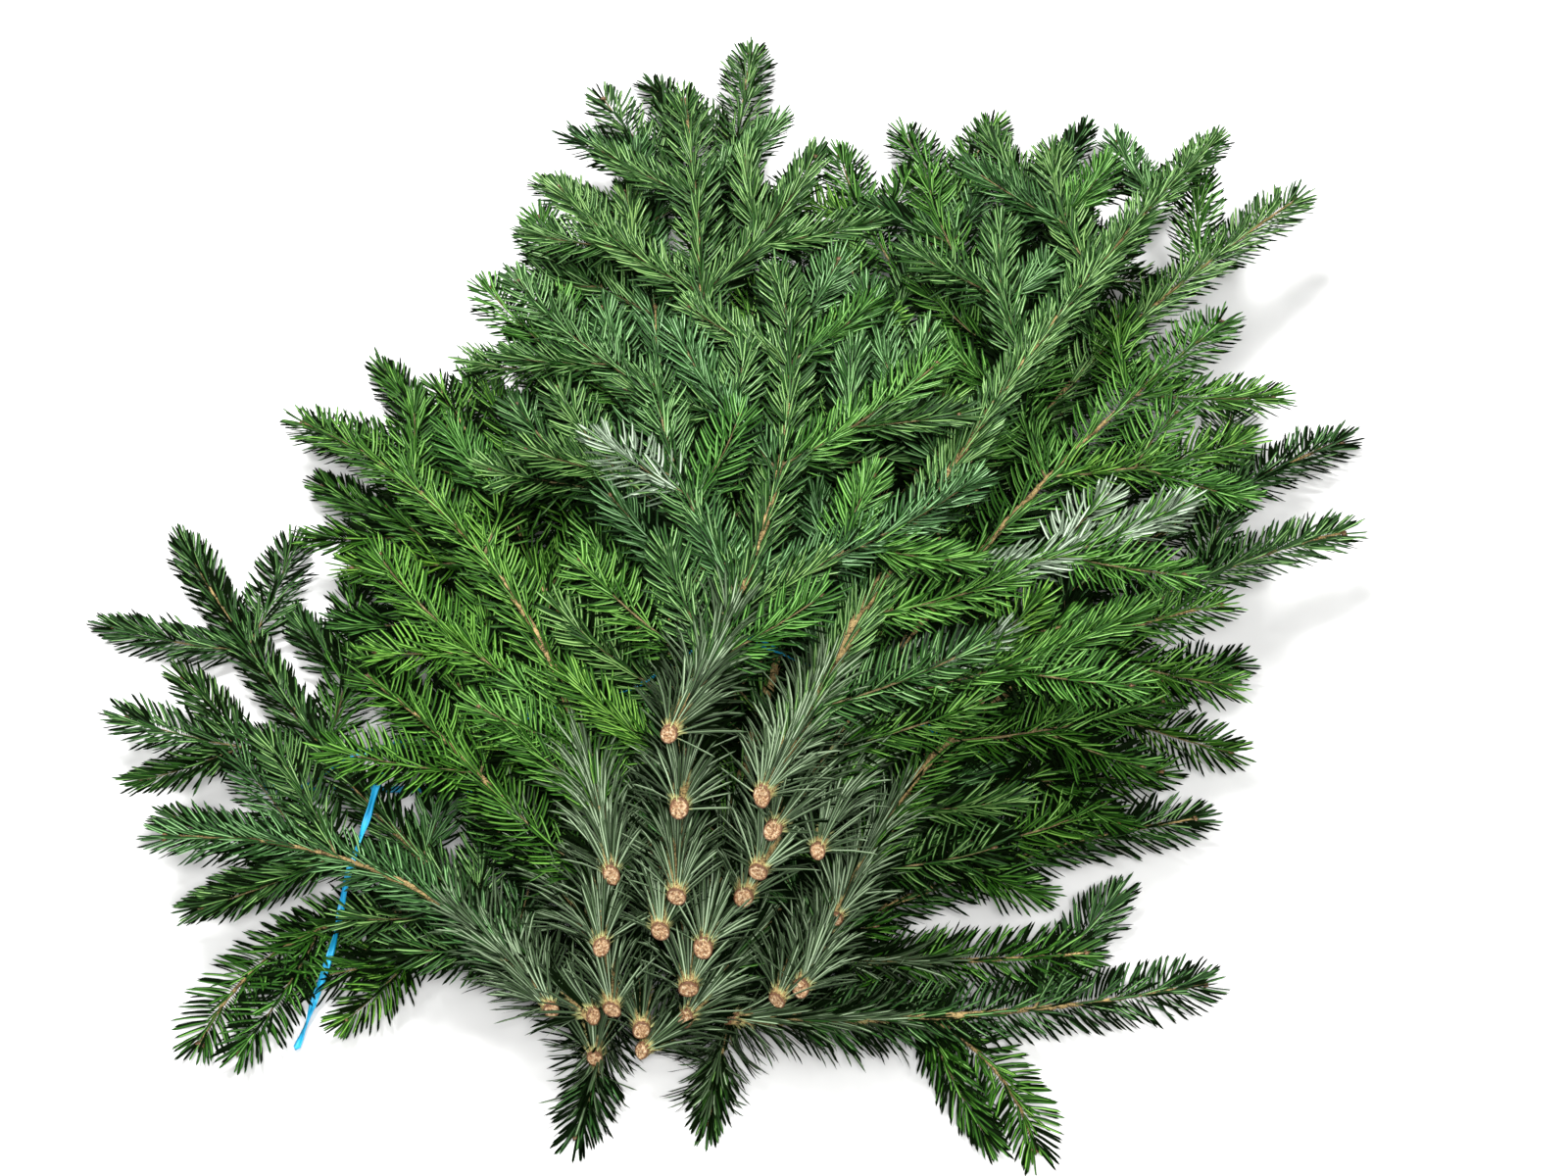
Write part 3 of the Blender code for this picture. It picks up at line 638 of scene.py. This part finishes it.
def blades(owner, distance, turn, lean, length, arch, facing_out, rng):
    """Points of needles, (n, 11, 3): the foot, three across at the neck, the middle and the shoulder, and
    the tip. A needle leaves the wood at a turn about it, 0 to the right and a half turn to the left, and
    leans this far from the shoot's run. It bends a third of its arch at each of those three, outwards,
    or towards the shoot's tip where the arch is below 0. Its fold lies below its edges."""
    rows = shoots[owner]
    centre, run, level, up = on_shoots(rows, distance)
    outwards = level * np.cos(turn)[:, None] + up * np.sin(turn)[:, None]
    foot = centre + outwards * wood_radius(rows, distance)[:, None] * 0.85
    heading = run * np.cos(lean)[:, None] + outwards * np.sin(lean)[:, None]
    towards = np.where(arch[:, None] > 0, outwards, run)
    bend = towards * np.abs(arch)[:, None] + up * rng.normal(0.03, 0.06, len(owner))[:, None]
    facing = outwards if facing_out else up
    across = unit(np.cross(heading, facing) + rng.normal(0, 0.30, (len(owner), 3)))
    half = (NEEDLE_WIDTH / 2 * rng.normal(1, 0.08, len(owner)))[:, None] * across
    points = [foot]
    place, reached = foot, 0
    for station, width in ((NECK, 0.75), (MIDDLE, 1), (SHOULDER, 0.85)):
        place = place + heading * (length * (station - reached))[:, None]
        reached = station
        fold = NEEDLE_GROOVE * width * unit(np.cross(across, heading))
        points += [place - half * width, place - fold, place + half * width]
        heading = unit(heading + bend)
    points.append(place + heading * (length * (1 - SHOULDER))[:, None])
    points = np.stack(points, 1)
    points[..., 2] = np.maximum(points[..., 2], LOWEST_NEEDLE)
    return points


def comb_needles(rng):
    """Both sides' needles, in turn left and right and in two layers, lean well out from the twig."""
    first = np.where(shoots[:, 1] == 0, 0.035, 0.004)
    owner, distance, order = spread_out(shoots, COMB_SPACING / 2, first, shoots[:, 7] - 0.001, rng)
    upper_layer = order // 2 % 2
    turn = np.radians(rng.normal(-4, 6, len(owner)) + upper_layer * 22)
    turn = np.where(order % 2, turn, np.pi - turn)
    to_tip = (shoots[owner, 7] - distance) / 0.024
    lean = rng.normal(43, 4, len(owner)) + 36 * spray_open[owner] - upper_layer * 7
    lean = np.radians(lean) * np.clip(0.42 + 0.58 * to_tip, 0, 1)
    length = NEEDLE_LENGTH * rng.normal(1, 0.06, len(owner)) * np.clip(0.80 + 0.20 * to_tip, 0, 1)
    # Painted shade: the lower layer's needles are painted darker.
    shade = 0.12 + 1.10 * rng.uniform(0, 1, len(owner)) - (1 - upper_layer) * 0.50
    points = blades(owner, distance, turn, lean, length, rng.normal(-0.14, 0.03, len(owner)), False, rng)
    return owner, points, shade, np.zeros(len(owner), int)


def over_needles(rng):
    """The shorter needles over the twig lie forwards."""
    first = np.where(shoots[:, 1] == 0, 0.035, 0.004)
    owner, distance, order = spread_out(shoots, OVER_SPACING, first, shoots[:, 7] - 0.001, rng)
    grown = rng.uniform(0, 1, len(owner)) > 0.50 * spray_open[owner]
    owner, distance = owner[grown], distance[grown]
    turn = np.radians(rng.uniform(18, 162, len(owner)))
    to_tip = (shoots[owner, 7] - distance) / 0.024
    lean = np.radians(rng.normal(33, 7, len(owner))) * np.clip(0.35 + 0.65 * to_tip, 0, 1)
    length = NEEDLE_LENGTH * 0.84 * rng.normal(1, 0.08, len(owner))
    shade = 0.12 + 1.10 * rng.uniform(0, 1, len(owner))
    points = blades(owner, distance, turn, lean, length, np.full(len(owner), -0.10), False, rng)
    return owner, points, shade, np.zeros(len(owner), int)


def brush_needles(rng):
    """The needles by the cut end stand all about the stem and arch outwards, more to the sides."""
    first = np.full(len(stems), BARE_BUTT)
    last = np.minimum(BRUSH_LENGTH, stems[:, 7] - 0.02)
    owner, distance, order = spread_out(stems, BRUSH_SPACING, first, last, rng)
    distance = BARE_BUTT + last[owner] * (distance / last[owner]) ** CROWDED
    turn = np.radians(rng.uniform(-50, 230, len(owner)))
    out_sideways = np.abs(np.cos(turn))
    lean = rng.normal(14, 6, len(owner)) + out_sideways * rng.normal(21, 10, len(owner))
    lean = np.radians(lean + 9 * np.exp(-distance / 0.010))
    length = BRUSH_NEEDLE * rng.normal(1, 0.12, len(owner))
    shade = 0.12 + 1.10 * rng.uniform(0, 1, len(owner))
    arch = (0.08 + 0.17 * out_sideways) * rng.uniform(0.3, 1.7, len(owner))
    points = blades(owner, distance, turn, lean, length, arch, True, rng)
    # The brush takes the old tone: older, greyer needles, partly a painted sheen.
    return owner, points, shade, np.full(len(owner), OLD_AND_SHEEN)


def held_in(points):
    """Points kept near the bundle's size: what stands past its solids' box by more than a set reach is
    halved, as where needles bend over."""
    low = np.array(solids_low) - STANDS_PROUD
    high = np.array(solids_high) + STANDS_PROUD
    return points + (np.maximum(low - points, 0) - np.maximum(points - high, 0)) / 2


def depth_in_heap(places, ways):
    """How far each place lies within the heap: the least of its depths seen from these ways. A depth is
    measured from the outermost place in a small square of the view."""
    depths = []
    for outwards in ways:
        out = unit(np.array(outwards, float))
        side = unit(np.cross(out, (0.0, 1.0, 0.0)) if abs(out[0]) > 0.5 else np.cross((1.0, 0.0, 0.0), out))
        plan = places @ np.stack([side, np.cross(out, side)], -1)
        square = np.floor((plan - plan.min(axis=0)) / SQUARE).astype(int)
        squares = np.full(square.max(axis=0) + 1, -9.0)
        np.maximum.at(squares, tuple(square.T), places @ out)
        depths.append(squares[tuple(square.T)] - places @ out)
    return np.min(depths, axis=0)


rng = np.random.default_rng(31)
tone_of = np.where(shoots[:, 1] > 0, tones[bough_of] + (rng.uniform(0, 1, len(shoots)) < 0.16), tones[bough_of])
tone_of = np.minimum(tone_of, FRESH)
middles = on_shoots(shoots, shoots[:, 7] * 0.7)[0]
for place in SILVER_PLACES:
    away = np.hypot(*(middles[:, :2] - place).T) + (shoots[:, 1] == 0)
    near = np.flatnonzero(away <= max(0.03, away.min()))
    tone_of[near[middles[near, 2].argmax()]] = SILVER
spray_shade = rng.uniform(-0.15, 0.18, len(shoots))
spray_open = np.clip(rng.normal(0.64, 0.26, len(shoots)) - DARK_SWEPT * (tone_of == DARK), 0, 1)
spray_warmth = np.where(tone_of == SILVER, 0.5, np.clip(rng.normal(0.5, 0.22, len(shoots)), 0, 1))

kinds = [comb_needles(rng), over_needles(rng), brush_needles(rng)]
foot_at = np.repeat([0.17, 0.20, 0.0], [len(kind[0]) for kind in kinds])
owner, points, shade, own_tone = [np.concatenate([kind[part] for kind in kinds]) for part in range(4)]
points = held_in(points)
seen = depth_in_heap(points[:, 5], ALL_ROUND) < HIDDEN_DEPTH
foot_at, owner, points, shade, own_tone = [values[seen] for values in (foot_at, owner, points, shade, own_tone)]
shade += spray_shade[owner]
# Painted shade: needles are painted darker the deeper they lie in the heap, seen from above and the front.
shade -= 0.95 * np.clip(depth_in_heap(points[:, 5], ABOVE_AND_FRONT) / SHADED_DEPTH - 0.14, 0, 1)
# Painted shade: needles close to the floor are painted darker.
shade -= FLOOR_SHADE * np.clip(1 - points[:, 5, 2] / FLOOR_REACH, 0, 1)
tone = np.where((own_tone > 0) & (tone_of[owner] != SILVER), own_tone, tone_of[owner])
tone = np.where((tone == SILVER) & (rng.uniform(0, 1, len(tone)) < NOT_TURNED), tones[bough_of[owner]], tone)
# Painted shade: the needles painted darkest become near-black matt shaded ones.
tone = np.where((shade < DIMMEST) & (tone != SILVER), SHADED, tone)

folded = [(0, 1, 2), (0, 2, 3), (7, 10, 8), (8, 10, 9)]
folded += [(a + n, a + n + 3, a + n + 4) for a in (1, 4) for n in (0, 1)]
folded += [(a + n, a + n + 4, a + n + 1) for a in (1, 4) for n in (0, 1)]
flat = [(0, 1, 3), (7, 10, 9), (1, 4, 6), (1, 6, 3), (4, 7, 9), (4, 9, 6)]
along_needle = np.array([0, *[NECK] * 3, *[MIDDLE] * 3, *[SHOULDER] * 3, 1])
painted_highlight_across = np.array([0, *(-1, 1, -1) * 3, 0])
for number, (word, gloss, shine, deep, light, lit) in enumerate(NEEDLE_COLOURS):
    paint, nodes, inputs = new_material(f"{word} needles", gloss, shine)
    needle_shade = add_node(nodes, "ShaderNodeAttribute", {"attribute_name": "shade"}, {}, "Fac")
    along = add_node(nodes, "ShaderNodeAttribute", {"attribute_name": "along"}, {}, "Fac")
    warmth = add_node(nodes, "ShaderNodeAttribute", {"attribute_name": "warmth"}, {}, "Fac")
    # The colour follows the shade: from deep, for painted shade and for needles of dark tone, through light, to
    # lit, a painted highlight.
    stops = [(0.0, deep), (LIGHT_AT / PAINTED_HIGHLIGHT_AT, light), (1.0, lit)]
    blade = add_node(nodes, "ShaderNodeValToRGB", {"stops": stops}, {"Fac": needle_shade * (1 / PAINTED_HIGHLIGHT_AT)})
    colours = {0: warmth, 6: (*COOL_TINT, 1), 7: (*WARM_TINT, 1)}
    tint = add_node(nodes, "ShaderNodeMix", {"data_type": "RGBA"}, colours, 2)
    product = {"data_type": "RGBA", "blend_type": "MULTIPLY"}
    tinted = add_node(nodes, "ShaderNodeMix", product, {0: 1.0, 6: blade, 7: tint}, 2)
    mix = {0: (0.16 - along) * 7.0, 6: tinted, 7: (*FOOT_COLOUR, 1)}
    feed(nodes, inputs["Base Color"], add_node(nodes, "ShaderNodeMix", {"data_type": "RGBA"}, mix, 2))
    feed(nodes, inputs["Roughness"], 0.70 - needle_shade * ((0.70 - gloss) / PAINTED_HIGHLIGHT_AT))
    kept = np.unique(flat if number == SHADED else folded)
    one = np.searchsorted(kept, flat if number == SHADED else folded)
    chosen = np.flatnonzero(tone == number)
    for part, some in enumerate(np.array_split(chosen, math.ceil(len(chosen) / MOST_NEEDLES))):
        faces = (one[None] + (np.arange(len(some)) * len(kept))[:, None, None]).reshape(-1, 3)
        blade_points = points[some][:, kept].reshape(-1, 3)
        piece = add_piece(f"needles_{word}_{part + 1}", blade_points, faces, paint)
        # The shade at each point: the needle's own, with a painted highlight along its fold and painted shade at
        # its edges.
        give_values(piece, "shade", np.clip(shade[some, None] + PAINTED_HIGHLIGHT * painted_highlight_across[kept], 0, PAINTED_HIGHLIGHT_AT))
        warmth_here = 0.4 if number == OLD_AND_SHEEN else spray_warmth[owner[some]]
        give_values(piece, "warmth", np.broadcast_to(warmth_here, len(some)).repeat(len(kept)))
        give_values(piece, "along", foot_at[some, None] + (1 - foot_at[some, None]) * along_needle[kept])

for number in range(len(BOUGHS)):
    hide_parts(f"bough_{number + 1:02d}_foliage")


# Twine: a flat blue tape of twisted plastic, tied once round the heap and pulled down among the needles,
# with a knot at the left and a loose end that lies down to the floor. It is a curled strip carried along
# the run that its solid has, and a bit below it, where it presses the needles down.
TAPE_WIDTH = 0.0040
TAPE_THICKNESS = 0.0006
TAPE_CURL = 0.30
TAPE_SECTION = 12
TAPE_STEP = 0.0025
TWINE_BACK = -0.070
TWINE_RADIUS = 0.0021
TWINE_SUNK = 0.0040
FLANKS_SUNK = ((0.055, 0.060, 0), (0.125, 0.100, -1))
PULLED_IN = (0.003, 0.075)
TAIL_SUNK = 0.0085
KNOT_ACROSS = -0.195
KNOT_SIZE = 0.0021
CUT_END = (0.020, -0.012, 0.004)
TAIL_END = (-0.240, -0.246)
TAPE_COLOURS = [(0.30, (0.002, 0.16, 0.36)), (0.50, (0.004, 0.36, 0.66)), (0.70, (0.07, 0.60, 0.86))]

shift = sawn_ends[0, :2] - np.array(BOUGHS[0][:2])
twine_points = vertices_of("twine")
twine_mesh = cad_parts["twine"].data
corner_points = [vertex.co for vertex in twine_mesh.vertices]
twine_tree = BVHTree.FromPolygons(corner_points, [tuple(face.vertices) for face in twine_mesh.polygons])


def height_of_twine(x, y):
    """The height of the solid's middle at this place, or not a number where it doesn't pass."""
    hit = twine_tree.ray_cast(Vector((x, y, 1)), Vector((0, 0, -1)))[0]
    return hit.z - TWINE_RADIUS if hit else math.nan


def smooth(values, reach):
    """Each value's mean with its neighbours on both sides."""
    return np.convolve(np.pad(values, reach, "edge"), np.full(2 * reach + 1, 1 / (2 * reach + 1)), "valid")


def evenly(corners):
    """Points at even steps along a route of straight runs, and how far along it each one is."""
    gone = np.concatenate([[0], np.cumsum(np.linalg.norm(np.diff(corners, axis=0), axis=1))])
    at = np.linspace(0, gone[-1], max(round(gone[-1] / TAPE_STEP), 3))
    return np.stack([np.interp(at, gone, corners[:, axis]) for axis in range(3)], -1), at


def strip(route, at, twist, width=TAPE_WIDTH):
    """Points of a curled strip, (stations, section, 3), that closes to a point at both ends. Its section
    goes out along the upper face and back along the lower one, its edges curl up with the square of the
    distance from its middle, and it turns about its run by the twist."""
    run = unit(np.gradient(route, axis=0))
    side = unit(np.cross(run, (0.15, 0.10, 1)))
    normal = np.cross(side, run)
    turned = side * np.cos(twist)[:, None] + normal * np.sin(twist)[:, None]
    normal = normal * np.cos(twist)[:, None] - side * np.sin(twist)[:, None]
    half = TAPE_SECTION // 2
    out = np.concatenate([np.linspace(1, -1, half), np.linspace(-1, 1, half)])
    raised = np.repeat([0.5, -0.5], half) * TAPE_THICKNESS + TAPE_CURL * width / 2 * (out**2 - 0.5)
    section = turned[:, None] * (out * width / 2)[:, None] + normal[:, None] * raised[:, None]
    section[[0, -1]] = 0
    points = route[:, None] + section
    points[..., 2] = np.maximum(points[..., 2], LOWEST_WOOD)
    return points


spans = np.arange(twine_points[:, 0].min() + PULLED_IN[0], twine_points[:, 0].max() - PULLED_IN[1], 0.002)
heights = np.array([height_of_twine(x, TWINE_BACK + shift[1]) for x in spans])
sunk_flanks = [depth * np.exp(-np.abs(spans - spans[end]) / reach) for depth, reach, end in FLANKS_SUNK]
heights = np.maximum(smooth(heights, 3) - TWINE_SUNK - sum(sunk_flanks), 0.004)
over = np.stack([spans, np.full(len(spans), TWINE_BACK + shift[1]), heights], -1)
knot_place = over[np.abs(spans - KNOT_ACROSS - shift[0]).argmin()] + (0, -0.002, -0.002)
ground = over[[-1, 0]] * (1, 1, 0) + (0, 0, 0.0015)
at_knot = np.abs(spans - knot_place[0]).argmin()
ring_route, ring_at = evenly(np.concatenate([over[at_knot:], ground, over[:at_knot + 1]]))
ring = strip(ring_route, ring_at, 0.9 * np.sin(ring_at * 47) + 0.6 * np.sin(ring_at * 139 + 1))

tail_foot = np.array([TAIL_END[0] + shift[0], TAIL_END[1] + shift[1], TWINE_RADIUS])
tail_route = knot_place + (tail_foot - knot_place) * np.linspace(0, 1, 70)[:, None]
tail_heights = np.array([height_of_twine(x, y) for x, y, _ in tail_route])
tail_heights = np.where(np.isfinite(tail_heights), tail_heights, np.linspace(knot_place[2], tail_foot[2], 70))
tail_heights = smooth(tail_heights, 2)
to_knot = np.exp(-np.linspace(0, 1, 70) * 7) * (tail_heights[0] - knot_place[2])
tail_route[:, 2] = np.maximum(tail_heights - to_knot - TAIL_SUNK * np.linspace(1, 0, 70) ** 0.5, 0.0012)
tail_route, tail_at = evenly(tail_route)
tail = strip(tail_route, tail_at, 0.8 * np.sin(tail_at * 60) + 0.5 * np.sin(tail_at * 171))
cut_route, cut_at = evenly(knot_place + np.array([(0, 0, 0), CUT_END]))
cut_end = strip(cut_route, cut_at, 0.8 * cut_at / 0.02)

turn = np.linspace(0, 2 * np.pi, 60)
loops = np.stack([np.sin(turn) + 2 * np.sin(2 * turn), np.cos(turn) - 2 * np.cos(2 * turn), -1.4 * np.sin(3 * turn)], -1)
knot = strip(knot_place + loops * KNOT_SIZE, turn * 0.02, turn, TAPE_WIDTH * 0.7)

tape, nodes, inputs = new_material("twisted blue tape", 0.42, 0.5)
tape_along = add_node(nodes, "ShaderNodeAttribute", {"attribute_name": "along"}, {}, "Fac")
tape_across = add_node(nodes, "ShaderNodeAttribute", {"attribute_name": "across"}, {}, "Fac")
drawn = add_node(nodes, "ShaderNodeCombineXYZ", {}, {0: tape_along * 55, 1: tape_across * 9})
fibres = add_node(nodes, "ShaderNodeTexNoise", {}, {"Vector": drawn, "Scale": 1.0, "Detail": 4})
feed(nodes, inputs["Base Color"], add_node(nodes, "ShaderNodeValToRGB", {"stops": TAPE_COLOURS}, {"Fac": fibres}))
feed(nodes, inputs["Normal"], add_node(nodes, "ShaderNodeBump", {}, {"Height": fibres, "Distance": 0.0004}))

strips = [(ring, ring_at), (tail, tail_at + 3), (cut_end, cut_at + 5), (knot, turn * 0.02 + 7)]
counts = [len(points) for points, at in strips]
starts = np.cumsum([0, *counts[:-1]]) * TAPE_SECTION
faces = [grid_faces(count, TAPE_SECTION, 1) + start for count, start in zip(counts, starts)]
tape_points = np.concatenate([points.reshape(-1, 3) for points, at in strips])
twine_piece = add_piece("blue_tape", tape_points, np.concatenate(faces), tape)
give_values(twine_piece, "along", np.concatenate([np.repeat(at, TAPE_SECTION) for points, at in strips]))
give_values(twine_piece, "across", np.tile(np.arange(TAPE_SECTION) / TAPE_SECTION, sum(counts)))
close_ends(twine_piece)
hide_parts("twine")
